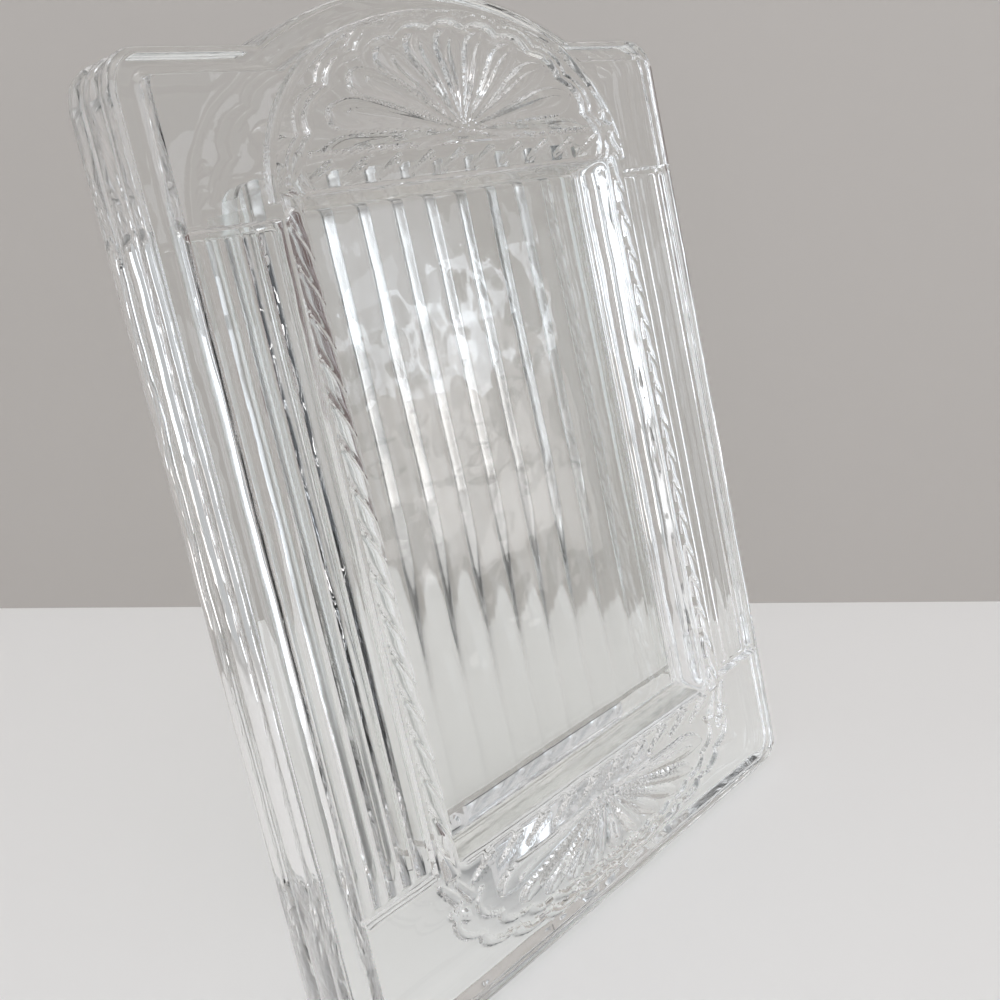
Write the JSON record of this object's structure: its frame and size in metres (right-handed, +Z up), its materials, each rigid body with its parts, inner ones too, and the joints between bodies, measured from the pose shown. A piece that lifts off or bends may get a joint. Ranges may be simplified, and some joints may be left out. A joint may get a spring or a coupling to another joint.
{
  "type": "free-standing glass photo frame",
  "caption": "Free-standing clear pressed-glass photo frame with an arched crest, rope and shell relief, a sliding fluted glass back plate and a short folding rear leg.",
  "frame": {"origin": "on the table surface, in the middle of the part's bounding box from side to side and from front to back", "axes": "+X to the viewer's right, +Y to the back, +Z up"},
  "size_m": [0.168, 0.0771, 0.2133],
  "materials": {
    "crystal_glass": "polished clear pressed crystal",
    "plate_glass": "clear rolled glass, fluted on its rear face",
    "clear_plastic": "frosted clear plastic",
    "plated_steel": "bright plated sheet steel with fine handling marks",
    "soft_pad": "matt soft rubber"
  },
  "bodies": {
    "frame": {"crystal_body": "crystal_glass", "rail_left": "clear_plastic", "rail_right": "clear_plastic", "hinge_plate": "plated_steel", "hinge_pin": "plated_steel"},
    "back_plate": {"fluted_back_plate": "plate_glass"},
    "leg": {"easel_leg": "plated_steel", "leg_pad": "soft_pad"}
  },
  "joints": [
    {"name": "back_plate_slide", "type": "slide", "parent": "frame", "child": "back_plate", "axis": [0, 0.2756, 0.9613], "range_m": [0, 0.13]},
    {"name": "leg_fold", "type": "hinge", "parent": "frame", "child": "leg", "pos_m": [0, -0.00697, 0.02843], "axis": [-1, 0, 0], "range_deg": [0, 51]}
  ]
}
